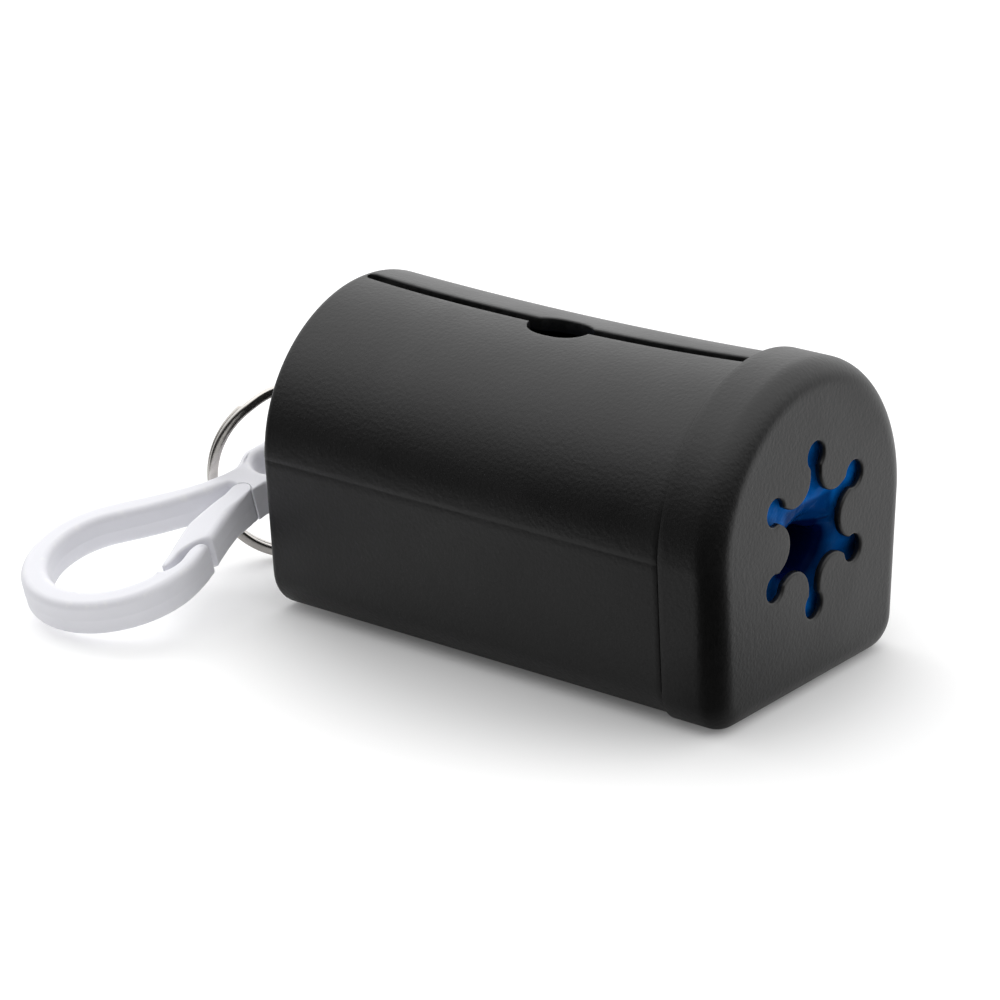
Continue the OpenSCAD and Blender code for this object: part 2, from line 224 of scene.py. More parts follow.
print(len(x), "rows from", x[0], "to", x[-1])

# %% Height of the crown and lips of the slot
t = (x - REAR_X) / (SEAM_X - REAR_X) * 2 - 1
rise = CROWN_RISE + CROWN_TILT * t - CROWN_SAG * (1 - t * t)
middle = 0.1 - 0.5 * (1 - t ** 4)
into_end = np.clip((SLOT_END + SLOT_HALF - x) / SLOT_HALF, 0, 1)
open_half = SLOT_HALF * np.sqrt(np.clip(1 - into_end ** 2, 0, 1))
bow = NOTCH_W * np.sqrt(np.clip(1 - np.abs((x - NOTCH_X) / NOTCH_L) ** 2.5, 0, 1))
# Slot and notch meet in a small round corner, because their fourth powers are added.
near_half = (open_half ** 4 + np.clip(bow + middle - NOTCH_Y, 0, 9) ** 4 * (bow > 0)) ** 0.25
far_half = (open_half ** 4 + np.clip(bow - middle + NOTCH_Y, 0, 9) ** 4 * (bow > 0)) ** 0.25
near_lip, far_lip = middle - near_half, middle + far_half
round_lip = LIP_ROUND * np.minimum(1, near_half / 0.4)
print("crown sinks to", round(float(SIDE_H + rise.min()), 2), "mm")

# %% The case's tube
def case_half(inset, lip, sign, skin):
    """Columns of one half of the case: the lip's rounding, then half_dee().

    The rounding lies at y = start - r sin(a), where the arch is lowered by e (1 - cos a).
    On the skin e is the rounding's radius r, and inside the wall it is 0.
    """
    e = round_lip if skin else 0 * round_lip
    start = sign * lip + round_lip
    y, z = half_dee(inset, rise, CASE_CORNER, start, crease=MOULD_LINE if skin else 0.0)
    a = np.radians([90, 60, 30])[None, :]
    lip_y = start[:, None] - round_lip[:, None] * np.sin(a)
    w = CASE_HALF - inset[:, None]
    lip_z = SIDE_H + (rise - inset)[:, None] * np.sqrt(1 - (lip_y / w) ** 2) - e[:, None] * (1 - np.cos(a))
    return np.concatenate([lip_y, y], 1) * sign, np.concatenate([lip_z, z], 1)


wall = CASE_WALL - EDGE_BREAK * (1 - ease((x - REAR_X) / BREAK_RUN))
wall = wall - EDGE_BREAK * ease((x - SEAM_X + BREAK_RUN) / BREAK_RUN)
near_y, near_z = case_half(inset, near_lip, -1, True)
far_y, far_z = case_half(inset, far_lip, 1, True)
in_near_y, in_near_z = case_half(wall, near_lip, -1, False)
in_far_y, in_far_z = case_half(wall, far_lip, 1, False)
outer_y = np.concatenate([near_y, far_y[:, -2::-1]], 1)
outer_z = np.concatenate([near_z, far_z[:, -2::-1]], 1)
inner_y = np.concatenate([in_near_y, in_far_y[:, -2::-1]], 1)[:, ::-1]
inner_z = np.concatenate([in_near_z, in_far_z[:, -2::-1]], 1)[:, ::-1]
loop_y, loop_z = np.concatenate([outer_y, inner_y], 1), np.concatenate([outer_z, inner_z], 1)
rows, n = outer_y.shape
tube = np.stack([np.broadcast_to(x[:, None], loop_y.shape), loop_y, loop_z], -1).reshape(-1, 3)

# %% Faces of the tube
faces = np.array(quads(rows, 2 * n, close_cols=True)).reshape(rows - 1, 2 * n, 4)
# Where the lips touch, the two strips of wall between them are left out.
shut = (near_half[:-1] < 1e-9) & (near_half[1:] < 1e-9)
keep = np.ones((rows - 1, 2 * n), bool)
keep[np.ix_(shut, [n - 1, 2 * n - 1])] = False
tube_faces = faces[keep].tolist()
k = np.arange(n - 1)
rear_face = np.stack([k, k + 1, 2 * n - 2 - k, 2 * n - 1 - k], 1)
seam_face = rear_face[:, ::-1] + (rows - 1) * 2 * n
tube_faces += rear_face.tolist() + seam_face.tolist()
# Wear shows on the rear rounding and along the lips of slot and notch.
tube_edge = np.zeros((rows, 2 * n))
tube_edge[:5, :n] = 1
opened = np.clip(near_half / SLOT_HALF, 0, 1)
lip_columns = [0, 1, 2, 3, n - 4, n - 3, n - 2, n - 1]
tube_edge[:, lip_columns] = np.maximum(tube_edge[:, [0]], opened[:, None])
piece("case_tube", tube, tube_faces, tube_edge, "case", "case_body", "black_plastic")

# %% [markdown]
# ## Rear wall and lug
# The rear end is closed by a wall set 3.2 mm deep, so that ring and hook have room. It is a
# plate inside the tube with a soft fillet where it meets the tube. The lug is a round rod
# moulded onto it. A curve with a round bevel could make it; here a circle is carried along
# a U-shaped path, because its radius can then grow where it runs into the wall.

# %% The rear wall
def dee_rows(levels, rise, corner, arch=46):
    """Closed loops of the whole section for a list of (x, inset): half_dee() and its mirror image."""
    levels = np.array(levels, float)
    y, z = half_dee(levels[:, 1], np.full(len(levels), rise), corner, np.zeros(len(levels)), arch=arch)
    y = np.concatenate([-y, y[:, -2:0:-1]], 1)
    z = np.concatenate([z, z[:, -2:0:-1]], 1)
    return np.stack([np.broadcast_to(levels[:, :1], y.shape), y, z], -1)


POCKET_X, ROOM_X, WALL_RISE = -29.25, -27.75, 17.5
rear_side = [(POCKET_X - 0.6, 1.55), (POCKET_X - 0.3, 1.68), (POCKET_X - 0.09, 1.89), (POCKET_X, 2.2),
             (POCKET_X, 2.6)]
room_side = [(ROOM_X, 2.6), (ROOM_X, 2.0), (ROOM_X + 0.1, 1.7), (ROOM_X + 0.35, 1.55)]
shell = dee_rows(rear_side + room_side, WALL_RISE, CASE_CORNER)
m, room_start = shell.shape[1], len(rear_side) * shell.shape[1]
wall_points = shell.reshape(-1, 3)
wall_faces = quads(len(rear_side), m, 0, close_cols=True)
wall_faces += quads(len(room_side), m, room_start, close_cols=True)
wall_faces += plate(wall_points, [np.arange(room_start - m, room_start)])
wall_faces += plate(wall_points, [np.arange(room_start, room_start + m)])
rim = np.arange(m)
last = len(wall_points) - m
wall_faces += np.stack([rim, (rim + 1) % m, (rim + 1) % m + last, rim + last], 1).tolist()
piece("case_rear_wall", wall_points, wall_faces, np.zeros(len(wall_points)),
      "case", "case_body", "black_plastic")

# %% A rod carried along a path
def sweep(path, radius, sides=28):
    """Point (i, j) = path_i + r_i (cos a_j * b + sin a_j * c), where b and c stand square to the path.

    Both ends are closed at a pole.
    """
    path, radius = np.asarray(path, float), np.asarray(radius, float)
    along = np.gradient(path, axis=0)
    along /= np.linalg.norm(along, axis=1, keepdims=True)
    b = np.cross(along, [0, 0, 1])
    b /= np.linalg.norm(b, axis=1, keepdims=True)
    c = np.cross(along, b)
    a = np.linspace(0, 2 * math.pi, sides, endpoint=False)[None, :, None]
    ring = path[:, None] + radius[:, None, None] * (np.cos(a) * b[:, None] + np.sin(a) * c[:, None])
    poles = np.stack([np.broadcast_to(path[[0]], (sides, 3)), np.broadcast_to(path[[-1]], (sides, 3))])
    return np.concatenate([poles[:1], ring, poles[1:]])


# %% The lug
LUG_X, LUG_Z, LEG_Y, LUG_BEND = -40.09, 19.5, 5.5, 2.0
ROD_R, FOOT_FLARE, FLARE_RUN, ROOT_DEPTH = 1.08, 0.75, 0.9, 0.6
leg = np.linspace(POCKET_X + ROOT_DEPTH, LUG_X + LUG_BEND, 16)
q = np.linspace(0, math.pi / 2, 10)[1:]
near_leg = np.stack([leg, np.full(len(leg), -LEG_Y)], 1)
near_bend = np.stack([LUG_X + LUG_BEND - LUG_BEND * np.sin(q), -LEG_Y + LUG_BEND - LUG_BEND * np.cos(q)], 1)
bar = np.stack([np.full(7, LUG_X), np.linspace(-LEG_Y + LUG_BEND, LEG_Y - LUG_BEND, 9)[1:-1]], 1)
half_path = np.concatenate([near_leg, near_bend])
flat_path = np.concatenate([half_path, bar, half_path[::-1] * [1, -1]])
lug_path = np.column_stack([flat_path, np.full(len(flat_path), LUG_Z)])
rod_radius = ROD_R + FOOT_FLARE * np.clip(1 - (POCKET_X - lug_path[:, 0]) / FLARE_RUN, 0, 1) ** 2
rod = sweep(lug_path, rod_radius)
piece("case_lug", rod.reshape(-1, 3), quads(*rod.shape[:2], close_cols=True),
      np.zeros(rod.shape[:2]), "case", "case_body", "black_plastic")

# %% [markdown]
# ## The end cap
# The cap is a shallow box of the same section, a little taller in the arch, with a generous
# rounding all round its front. Its window looks like a splash: a middle with six arms that
# end in drops. It could be cut out with a boolean; but the outline is made of arcs that
# touch each other, so drawing it larger for the rounded edge only changes the radii, and
# the flat front is closed between the two outlines with an even rim.

# %% The splash outline
ARMS, SPLASH_Y, SPLASH_Z = 6, 0.35, 19.4
BAY_AT, BAY_R, ARM_HALF, ARM_FILLET, DROP_AT, DROP_R = 7.8, 3.0, 0.9, 0.6, 8.9, 1.6


def splash(d=0.0):
    """Outline of the window, moved out into the plastic by d.

    Each arm is made of touching arcs: a bay of radius 3 - d at 7.8 from the middle and 30
    degrees off the arm, a fillet of radius 0.6 - d beside the 0.9 mm half neck, and a drop
    of radius 1.6 + d at 8.9 from the middle.
    """
    bay = BAY_AT * np.array([math.cos(math.pi / ARMS), math.sin(math.pi / ARMS)])
    fillet_v = ARM_HALF + ARM_FILLET
    fillet_u = DROP_AT - math.sqrt((DROP_R + ARM_FILLET) ** 2 - fillet_v ** 2)
    touch = math.atan2(fillet_v, fillet_u - DROP_AT)
    arcs = ((bay, BAY_R - d, np.linspace(math.radians(210), math.radians(270), 10)),
            (np.array([fillet_u, fillet_v]), ARM_FILLET - d, np.linspace(-math.pi / 2, touch - math.pi, 6)),
            (np.array([DROP_AT, 0]), DROP_R + d, np.linspace(touch, 0, 14)[1:]))
    half_arm = np.concatenate([middle + r * np.stack([np.cos(g), np.sin(g)], 1) for middle, r, g in arcs])
    arm = np.concatenate([half_arm, half_arm[-2:0:-1] * [1, -1]])
    turns = np.radians(30 - 360 // ARMS * np.arange(ARMS))[:, None, None]
    u, v = arm[None, :, 0:1], arm[None, :, 1:2]
    whole = np.concatenate([u * np.cos(turns) - v * np.sin(turns), u * np.sin(turns) + v * np.cos(turns)], -1)
    return whole.reshape(-1, 2) + [SPLASH_Y, SPLASH_Z]


outline = splash()
print("splash outline:", len(outline), "points, height", round(float(np.ptp(outline[:, 1])), 2))

# %% The cap's rows, outside and inside
CAP_RISE, CAP_CORNER, CAP_WALL, FRONT_WALL, CAP_ARCH = 19.2, 4.3, 1.5, 0.8, 60
FRONT_ROUND, FACE_ROUND, FACE_FLAT, REAR_SOFT = 2.84, 3.0, 0.35, 0.05
BACK_X = FRONT_X - FRONT_WALL
front_turn = np.radians(np.linspace(0, 90, 13))
rear_soft_turn = np.radians([90, 60, 30, 0])
out_levels = [(SEAM_X + REAR_SOFT * (1 - s), REAR_SOFT * (1 - c))
              for s, c in zip(np.sin(rear_soft_turn), np.cos(rear_soft_turn))]
out_levels += [(v, 0) for v in (25.6, 26.8, 28.2, 29.2)]
out_levels += [(FRONT_X - FRONT_ROUND * (1 - s), FACE_ROUND * (1 - c))
               for s, c in zip(np.sin(front_turn), np.cos(front_turn))]
out_levels += [(FRONT_X, FACE_ROUND + FACE_FLAT)]
in_levels = [(BACK_X, CAP_WALL + 0.5), (BACK_X, CAP_WALL + 0.2),
             (BACK_X - 0.06, CAP_WALL + 0.06), (BACK_X - 0.2, CAP_WALL),
             (28.5, CAP_WALL), (26, CAP_WALL), (SEAM_X, CAP_WALL)]
skin = dee_rows(out_levels, CAP_RISE, CAP_CORNER, arch=CAP_ARCH)
lining = dee_rows(in_levels, CAP_RISE, CAP_CORNER, arch=CAP_ARCH)
print("cap rows:", len(skin), "outside,", len(lining), "inside")

# %% The window's rim
RIM_ROUND, RIM_FLAT, BACK_SOFT = 0.3, 0.22, 0.08
rim_turn = np.radians([0, 18, 36, 54, 72, 90])
window = [(FRONT_X, RIM_ROUND + RIM_FLAT)]
window += [(FRONT_X - RIM_ROUND * (1 - c), RIM_ROUND * (1 - s))
           for s, c in zip(np.sin(rim_turn), np.cos(rim_turn))]
window += [(FRONT_X - 0.5, 0), (BACK_X + BACK_SOFT, 0), (BACK_X, BACK_SOFT)]
hole = np.stack([np.column_stack([np.full(len(outline), v), splash(d)]) for v, d in window])
print("window rows:", len(hole), "of", hole.shape[1], "points")

# %% The cap's shell
m, h = skin.shape[1], hole.shape[1]
lining_start = len(skin) * m
hole_start = lining_start + len(lining) * m
cap_points = np.concatenate([skin.reshape(-1, 3), lining.reshape(-1, 3), hole.reshape(-1, 3)])
cap_faces = quads(len(skin), m, 0, close_cols=True) + quads(len(lining), m, lining_start, close_cols=True)
cap_faces += quads(len(hole), h, hole_start, close_cols=True)
rim, hole_rim = np.arange(m), hole_start + np.arange(h)
rim_next, last = (rim + 1) % m, hole_start - m
cap_faces += np.stack([rim, rim_next, last + rim_next, last + rim], 1).tolist()
cap_faces += plate(cap_points, [lining_start - m + rim, hole_rim])
cap_faces += plate(cap_points, [lining_start + rim, hole_rim + (len(hole) - 1) * h])
skin_edge = [0.1] * 4 + [0] * 4 + list(0.15 * np.sin(2 * front_turn)) + [0]
hole_edge = [0] + [1] * 6 + [0] * 3
cap_edge = np.concatenate([np.repeat(skin_edge, m), np.zeros(len(lining) * m), np.repeat(hole_edge, h)])
piece("cap_shell", cap_points, cap_faces, cap_edge, "cap", "end_cap", "black_plastic")

# %% [markdown]
# ## The cap's tongue
# Two bands behind the cap plug into the case and hold the cap by friction. They are guessed,
# because the case hides them. Each is the same section, drawn in by wall and clearance,
# with a break at the crown for the slot and a wide one over the base. They could be cut from
# a thinner copy of the cap, but as rows of their own they have clean ends.

# %% Both tongues
TONGUE_RISE, TONGUE_OUT, TONGUE_IN, TONGUE_LIP, TONGUE_FOOT = 17.9, 1.75, 2.85, 4.3, 8.5
TONGUE_SOFT, INTO_CAP = 0.12, 1.45


def tongue(sign):
    """Rows of a closed loop of two half sections, from y = 4.3 at the crown to y = 8.5 on the base.

    The outer one is 1.75 mm inside the skin, and runs out into the cap's own wall within
    the cap. The inner one, on the way back, is 2.85 mm inside the skin.
    """
    levels = np.array([20.85, 21.0, 24.7, 24.9, 24.92, BACK_X + 0.1])
    outer = np.array([TONGUE_OUT + TONGUE_SOFT] + [TONGUE_OUT] * 3 + [INTO_CAP] * 2)
    inner = np.array([TONGUE_IN - TONGUE_SOFT] + [TONGUE_IN] * 5)
    tall = np.array([TONGUE_RISE] * 4 + [CAP_RISE] * 2)
    lips = np.full(6, TONGUE_LIP)
    outer_y, outer_z = half_dee(outer, tall, CASE_CORNER, lips, bottom=TONGUE_FOOT)
    inner_y, inner_z = half_dee(inner, np.full(6, TONGUE_RISE), CASE_CORNER, lips, bottom=TONGUE_FOOT)
    y = np.concatenate([outer_y, inner_y[:, ::-1]], 1) * sign
    z = np.concatenate([outer_z, inner_z[:, ::-1]], 1)
    points = np.stack([np.broadcast_to(levels[:, None], y.shape), y, z], -1)
    n = outer_y.shape[1]
    faces = quads(6, 2 * n, close_cols=True)
    k = np.arange(n - 1)
    end = np.stack([k, k + 1, 2 * n - 2 - k, 2 * n - 1 - k], 1)
    faces += end.tolist() + (end + 5 * 2 * n).tolist()
    return points.reshape(-1, 3), faces


for name, sign in (("cap_tongue_near", -1), ("cap_tongue_far", 1)):
    points, faces = tongue(sign)
    piece(name, points, faces, np.zeros(len(points)), "cap", "end_cap", "black_plastic")

# %% [markdown]
# ## The roll of bags
# The roll is thin film wound without a core, and its end is what shows through the window:
# the layers bunch up into folds that fall in towards the hollow. Cloth physics or sculpting
# could make such folds; a formula gives the same ones each time and stays behind the front
# plane. The roll is a closed profile turned about its axis. The folds are creases, each the
# distance to a line times a slope, added up, and the layers are a fine saw-tooth in radius
# that winds outwards. Where the film lies in shade, in a pool that reaches from the hollow
# upwards and along one level crease, the number "edge" rises and the finish turns darker.

# %% Folds of the film at the roll's end
ROLL_FRONT, ROLL_L, ROLL_R, ROLL_Z = 31.3, 58.3, 14.3, 16.5
dice = np.random.default_rng(11)
fold_turn = dice.uniform(0, math.pi, 18)
fold_place = dice.uniform(-10, 10, 18)
fold_slope = dice.uniform(-0.3, 0.3, 18)


def hollow(angle):
    """Radius of the squashed hollow: an ellipse 4.1 mm wide each way, 2.2 mm up and 3 mm down.

    Two sine waves round the angle make it a little wavy.
    """
    oval = 1 / np.sqrt((np.cos(angle) / 4.1) ** 2 + (np.sin(angle) / (2.6 - 0.4 * np.sin(angle))) ** 2)
    return oval * (1 + 0.05 * np.sin(5 * angle + 1) + 0.03 * np.sin(9 * angle))


def sink(radius, angle):
    """Depth of the film behind the roll's front plane.

    Folds are |distance to a line| * slope, added up and held by tanh. They and the pleats
    near the rim are shallower below the axis. A lip falls into the hollow, a broad facet
    above it leans back, and the film sinks again over a crest 6.4 mm above the axis.
    """
    y, z = radius * np.cos(angle), radius * np.sin(angle)
    folds = sum(s * np.abs(y * math.cos(f) + z * math.sin(f) - p)
                for f, p, s in zip(fold_turn, fold_place, fold_slope))
    folds = 0.42 + 0.40 * np.tanh((folds - folds.mean()) / 1.1)
    lip = 1.7 * np.exp(-np.clip(radius - hollow(angle), 0, 20) / 1.3)
    lean = 1.3 * np.clip(1 - np.abs(z - 2.0) / 4.4, 0, 1) * ease((z - 1.6) / 0.8) * np.exp(-(y / 4.5) ** 2)
    crest = 0.5 * ease((z - 6.4) / 2.2) * np.exp(-(y / 5) ** 2)
    pleats = 0.3 * np.abs(np.sin(4.5 * angle + 0.6)) * ease((radius - 4) / 5)
    layers = 0.03 * ((radius / 0.5 - angle / (2 * math.pi)) % 1)
    low = 1 - 0.55 * ease((-2.5 - z) / 2.5)
    return np.clip((folds + pleats) * low + lip + lean + crest + layers - 0.15, 0.04, 3.4)


# %% Shade on the roll's end
def film_shade(across, up, depth):
    """How deep in shade the film lies, from 0 to 1: the greatest of three masks.

    One is a pool between 15 and 23 mm of height, one a level crease at 18.8 mm, and one
    grows with the film's depth and is stronger below 19.4 mm.
    """
    pool = 0.68 * ease((23.0 - up) / 0.9) * ease((up - 15.0) / 0.8) * ease((5.2 - np.abs(across)) / 1.2)
    crease = 0.9 * np.exp(-((up - 18.8) / 0.3) ** 2) * ease((6.0 - np.abs(across)) / 1.5)
    deep = np.clip((depth - 0.55) / 1.2, 0, 1) * (0.62 + 0.38 * ease((19.4 - up) / 0.7))
    return np.maximum(np.maximum(pool, crease), deep)


# %% The roll's surface
ANGLES, BACK_SQUEEZE = 300, 0.86


def bag_roll():
    """Points, faces and shade of the roll: rows of a profile, each with 300 angles.

    The rows run along the outside from back to front, over the folded front face into the
    hollow, back through it, and outwards over the rear face. A point is x, y = shift + r
    cos(angle), z = 16.5 + r sin(angle), where the shift moves the hollow 1 mm aside.
    """
    angle = np.linspace(0, 2 * math.pi, ANGLES, endpoint=False)[None, :]
    wrap = 0.22 * (angle / (2 * math.pi) % 1)
    ridge = 0.05 * np.sin(9 * angle) * np.sin(4 * angle + 1)
    out_x = np.concatenate([[0], np.linspace(0.5, ROLL_L - 1.1, 22)])[:, None] + ROLL_FRONT - ROLL_L
    out_r = ROLL_R + wrap + ridge * np.cos(out_x * 0.11) - 0.12 * (out_x < ROLL_FRONT - ROLL_L + 0.2)
    share = np.concatenate([[1.0, 0.99, 0.97], np.linspace(0.95, 0, 76)])[:, None]
    face_r = hollow(angle) + share * (ROLL_R + wrap - hollow(angle))
    rim = np.concatenate([[0.75, 0.4, 0.15], np.zeros(76)])[:, None]
    depth = np.maximum(sink(face_r, angle), rim)
    shade = film_shade(face_r * np.cos(angle) - 0.5, ROLL_Z + face_r * np.sin(angle), depth)
    in_x = ROLL_FRONT - depth[-1:] - np.concatenate([[0.4, 1, 2, 3.5], np.linspace(6, 54, 12)])[:, None]
    in_r = hollow(angle) * np.linspace(0.98, BACK_SQUEEZE, 16)[:, None]
    back_r = hollow(angle) * BACK_SQUEEZE
    back_r = back_r + np.linspace(0.05, 0.98, 14)[:, None] * (ROLL_R - back_r)
    back_x = ROLL_FRONT - ROLL_L + 0.25 * np.abs(np.sin(3 * angle + back_r))
    back_shift = np.linspace(0.95, 0, 14)[:, None]
    # Painted shade: the front face carries the shade masks, and the inside of the hollow is painted fully
    # shaded.
    parts = ((out_x, out_r, 0, 0), (ROLL_FRONT - depth, face_r, shade, (1 - share) ** 2),
             (in_x, in_r, 1, 1), (back_x, back_r, 0, back_shift))
    x, r, deep, shift = (np.concatenate([np.broadcast_to(p[i], p[1].shape) for p in parts]) for i in range(4))
    points = np.stack([x, shift + r * np.cos(angle), ROLL_Z + r * np.sin(angle)], -1)
    return points, quads(len(x), ANGLES, close_rows=True, close_cols=True), deep


roll_points, roll_faces, roll_painted_shade = bag_roll()
roll_rows, roll_cols = (np.linspace(0, 1, count) for count in roll_points.shape[:2])
roll_uv = np.stack(np.meshgrid(roll_cols, roll_rows), -1)
piece("bag_roll_film", roll_points.reshape(-1, 3), roll_faces, roll_painted_shade,
      "roll", "bag_roll", "blue_film", uv=roll_uv.reshape(-1, 2))

# %% [markdown]
# ## The split ring
# A split ring is two turns of flattened spring wire pressed together. The wire changes from
# one layer to the other in a short crossover, and its two cut ends lie just beside it. A
# torus would show neither. So a rounded oblong section is carried round twice, and its place
# along the axis steps once.

# %% The ring's wire
RING_C, RING_MID, WIRE, LAYER = np.array([-41.36, -2.52, 11.3235]), 10.65, 0.6, 0.45
WIRE_THICK, CUT_SHRINK, SQUARENESS, WIRE_ROWS, WIRE_SIDES = 0.44, 0.72, 3.4, 520, 22
RING_TURN, CROSSING, NEAR = math.radians(50), 115, 13


def wire_ring():
    """Points and surface coordinates of the wire.

    The path runs at radius 10.65 round the centre, from 13 to 707 degrees past the crossing,
    and moves from -0.45 to 0.45 along the axis by a smooth step. The section is
    |y / 0.6|^3.4 + |x / 0.44|^3.4 = 1.
    """
    turn = np.radians(np.linspace(CROSSING + NEAR, CROSSING + 720 - NEAR, WIRE_ROWS))
    step = ease((np.degrees(turn) - (CROSSING + 360 - NEAR)) / (2 * NEAR))
    a = np.linspace(0, 2 * math.pi, WIRE_SIDES, endpoint=False)[None, :]
    p = 2 / SQUARENESS
    sa, sb = (np.sign(f) * np.abs(f) ** p for f in (np.cos(a), np.sin(a)))
    cut = np.ones((WIRE_ROWS, 1))
    cut[[0, -1]] = CUT_SHRINK
    radial = RING_MID + WIRE * sa * cut
    axial = LAYER * (2 * step[:, None] - 1) + WIRE_THICK * sb * cut
    out = np.array([math.cos(RING_TURN), math.sin(RING_TURN), 0])
    axis = np.array([math.sin(RING_TURN), -math.cos(RING_TURN), 0])
    t = turn[:, None, None]
    round_way = np.cos(t) * out + np.sin(t) * np.array([0, 0, 1])
    points = RING_C + radial[..., None] * round_way + axial[..., None] * axis
    poles = points[[0, -1]].mean(1, keepdims=True) + np.zeros((2, WIRE_SIDES, 1))
    uv = np.stack(np.broadcast_arrays(turn[:, None] * RING_MID, a * 0.5), -1)
    uv = np.concatenate([uv[:1], uv, uv[-1:]])
    return np.concatenate([poles[:1], points, poles[1:]]), uv


wire, wire_uv = wire_ring()
wire_edge = np.zeros(wire.shape[:2])
wire_edge[:3] = wire_edge[-3:] = 1
piece("split_ring_wire", wire.reshape(-1, 3), quads(*wire.shape[:2], close_cols=True),
      wire_edge, "ring", "split_ring", "nickel", uv=wire_uv.reshape(-1, 2))

# %% [markdown]
# ## The hook
# The white hook is a flat moulding 4.4 mm thick with soft edges: a round big end, a limb
# that draws in to the neck, and a loop round the ring. The gate is the springy tongue on the
# near side, whose tip rests behind the nose. A flat curve with a bevel would round all edges
# alike, but here the rounding fades at the joints. So both are outlines drawn in the hook's
# own plane in (u, v, rounding), made smooth by cutting corners, and raised in rows that step
# in towards both faces. A faint line at mid height is where the mould halves met.

# %% The hook's plane and width
HOOK_C = np.array([-47.08, -28.85, 5.7835])
hook_roll, hook_pitch, hook_turn = (math.radians(v) for v in (2.55, -14.41, 76.21))
HOOK_AXES = np.array(Matrix.Rotation(hook_turn, 3, "Z") @ Matrix.Rotation(hook_pitch, 3, "Y")
                     @ Matrix.Rotation(hook_roll, 3, "X"))
HOOK_R, HOOK_IN_R, HOOK_HALF_T, ARC_SHARE = 11.5, 8.1, 2.2, 0.504
ARC_U, ARC_V = HOOK_R * ARC_SHARE, HOOK_R * math.sqrt(1 - ARC_SHARE ** 2)
ARC_END = math.degrees(math.acos(ARC_SHARE))
NECK_U, NECK_HALF, EYE_END, EYE_FAR_U = 19.9, 3.25, 38.3, 36.6
ROOT, ROOT_R, SOFT = np.array([17.3, -1.9]), 1.5, 0.95


def bend(t, length, v0, s0, v1, s1):
    """Cubic between two heights v0 and v1 over a length, with end slopes s0 and s1."""
    return (v0 * (2 * t ** 3 - 3 * t ** 2 + 1) + length * s0 * (t ** 3 - 2 * t ** 2 + t)
            + v1 * (3 * t ** 2 - 2 * t ** 3) + length * s1 * (t ** 3 - t ** 2))


def half_width(u):
    """Half width of the hook along u: a circle, a cubic to the neck, then two smooth steps outwards."""
    u = np.asarray(u, float)
    circle = np.sqrt(np.clip(HOOK_R ** 2 - u ** 2, 0, None))
    limb = bend((u - ARC_U) / (NECK_U - ARC_U), NECK_U - ARC_U, ARC_V, -ARC_U / ARC_V, NECK_HALF, 0)
    rest = NECK_HALF + 2.05 * ease((u - NECK_U) / 3.6) + 2.2 * ease((u - 26.3) / 3.7)
    return np.where(u < ARC_U, circle, np.where(u < NECK_U, limb, rest))


print("hook: half width", [round(float(v), 2) for v in half_width([0, 10, NECK_U, EYE_END])])

# %% Helpers for outlines
def with_round(points, soft):
    """Adds the edge rounding as a third number."""
    return np.column_stack([points, np.full(len(points), soft)])


def arc(centre, radius, a0, a1, count, soft):
    """Points on a circle from a0 to a1 degrees, with their rounding."""
    a = np.radians(np.linspace(a0, a1, count))
    return with_round(np.stack([centre[0] + radius * np.cos(a), centre[1] + radius * np.sin(a)], 1), soft)


def hook_side(u, sign, soft):
    """Points (u, +- half width) on one side of the hook, with their rounding."""
    return with_round(np.stack([u, sign * half_width(u)], 1), soft)


def smoothed(points, rounds=2, step=0.3):
    """Cuts every corner of a closed outline at a quarter and three quarters.

    Then it spaces the points evenly, one step apart.
    """
    for _ in range(rounds):
        after = np.roll(points, -1, 0)
        points = np.stack([0.75 * points + 0.25 * after, 0.25 * points + 0.75 * after], 1).reshape(-1, 3)
    closed = np.concatenate([points, points[:1]])
    run = np.concatenate([[0], np.cumsum(np.linalg.norm(np.diff(closed[:, :2], axis=0), axis=1))])
    at = np.linspace(0, run[-1], int(run[-1] / step), endpoint=False)
    return np.stack([np.interp(at, run, closed[:, i]) for i in range(3)], 1)


# %% Outline of the frame
along = np.linspace(ARC_U, EYE_END, 70)
loop_back = np.linspace(EYE_END, 18.3, 44)
nose_u = np.linspace(7.9, ARC_U, 8)
BAY_U, BAY_HALF, BAY_ANGLE, BAY_SLOPE = 17.15, 0.85, math.radians(57), -0.649
bay_end_u, bay_end_v = HOOK_IN_R * math.cos(BAY_ANGLE), HOOK_IN_R * math.sin(BAY_ANGLE)
bay_side = np.linspace(BAY_U, bay_end_u, 18)
span = BAY_U - bay_end_u
bay_edge = bend((BAY_U - bay_side) / span, -span, BAY_HALF, -0.2, bay_end_v, BAY_SLOPE)
frame_line = smoothed(np.concatenate([
    hook_side(nose_u, -1, 0.75),
    arc((0, 0), HOOK_R, 360 - ARC_END, ARC_END, 90, SOFT),
    hook_side(along, 1, SOFT),
    arc((EYE_END, 5.0), 2.5, 80, 0, 7, SOFT), arc((EYE_END, -5.0), 2.5, 0, -80, 7, SOFT),
    hook_side(loop_back[:38], -1, SOFT), hook_side(loop_back[38:], -1, 0.3),
    arc(ROOT, ROOT_R + 0.01, -56, 62, 16, 0.02),
    arc((BAY_U, 0), BAY_HALF, -30, 80, 8, 0.5),
    with_round(np.stack([bay_side, bay_edge], 1), SOFT),
    arc((0, 0), HOOK_IN_R, 60, 275, 80, SOFT),
    with_round([[0.9, -8.25], [0.95, -8.8]], 0.2), with_round([[1.7, -9.1], [3.3, -9.0]], 0.3),
    with_round([[4.4, -8.35], [5.5, -7.65], [6.4, -7.4], [7.2, -7.4], [7.7, -7.9]], 0.5)]))
print("frame outline:", len(frame_line), "points")

